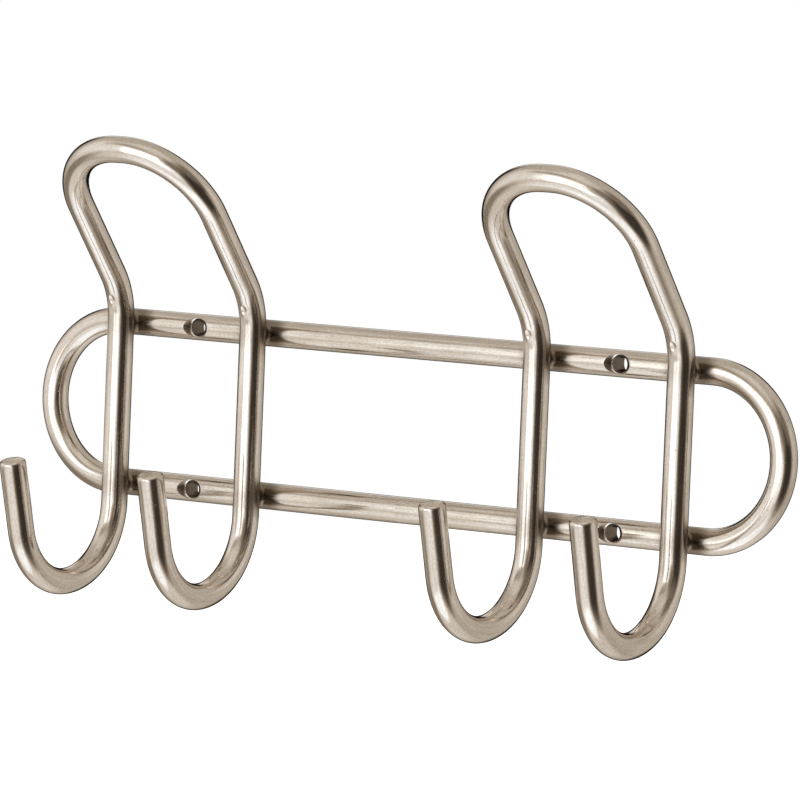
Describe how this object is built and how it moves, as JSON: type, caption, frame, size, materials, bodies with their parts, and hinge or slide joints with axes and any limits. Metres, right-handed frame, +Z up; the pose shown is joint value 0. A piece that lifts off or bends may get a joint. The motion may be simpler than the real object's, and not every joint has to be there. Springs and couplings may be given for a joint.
{
  "type": "wall hook rack",
  "caption": "Wall-mounted coat hook rack of bent round rod: a flat racetrack back frame with looped double hooks welded across it.",
  "frame": {"origin": "middle of the rack on the wall plane, half-way between the upper and lower rails and between the two hooks", "axes": "+X to the right along the rails, +Z up, -Y out of the wall towards the user; the wall plane is y = 0"},
  "size_m": [0.27, 0.0656, 0.1395],
  "materials": {
    "satin_nickel": "satin brushed nickel plate, warm grey, semi-gloss",
    "plated_weld": "plated resistance weld, slightly duller than the rod"
  },
  "bodies": {
    "root": {"back_frame": "satin_nickel", "left_hook_wire": "satin_nickel", "right_hook_wire": "satin_nickel", "weld_left_hook_left_leg_upper": "plated_weld", "weld_left_hook_left_leg_lower": "plated_weld", "weld_left_hook_right_leg_upper": "plated_weld", "weld_left_hook_right_leg_lower": "plated_weld", "weld_right_hook_left_leg_upper": "plated_weld", "weld_right_hook_left_leg_lower": "plated_weld", "weld_right_hook_right_leg_upper": "plated_weld", "weld_right_hook_right_leg_lower": "plated_weld"}
  },
  "joints": []
}
